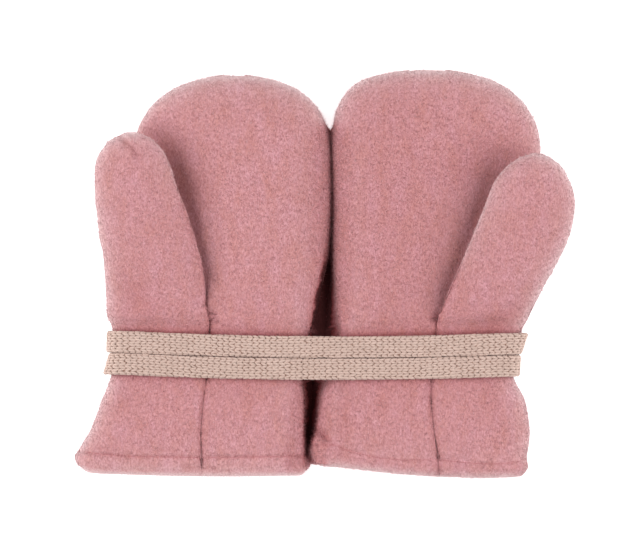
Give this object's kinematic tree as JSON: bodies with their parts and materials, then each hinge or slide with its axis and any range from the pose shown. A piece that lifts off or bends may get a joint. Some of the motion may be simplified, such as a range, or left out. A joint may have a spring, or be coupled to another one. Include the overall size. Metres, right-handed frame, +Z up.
{
  "type": "pair of baby mittens",
  "caption": "Pair of baby mittens with thumbs in pink wool fleece, laid flat with the palms up and tied together at the wrists by their flat knitted cord.",
  "frame": {"origin": "on the surface that the pair lies on, at the middle of the pair's box seen from above", "axes": "+Z up from the surface, out of the palms; +Y from the cuffs to the fingertips; +X across the pair, from the mitten whose thumb is at its outer left side to the other one"},
  "size_m": [0.1746, 0.1425, 0.0195],
  "materials": {
    "wool_fleece": "soft brushed pile, matt",
    "cord_knit": "knitted, matt"
  },
  "bodies": {
    "root": {"left_back": "wool_fleece", "left_palm": "wool_fleece", "left_thumb_outer": "wool_fleece", "left_thumb_inner": "wool_fleece", "right_back": "wool_fleece", "right_palm": "wool_fleece", "right_thumb_outer": "wool_fleece", "right_thumb_inner": "wool_fleece", "cord_upper_turn": "cord_knit", "cord_lower_turn": "cord_knit"}
  },
  "joints": []
}
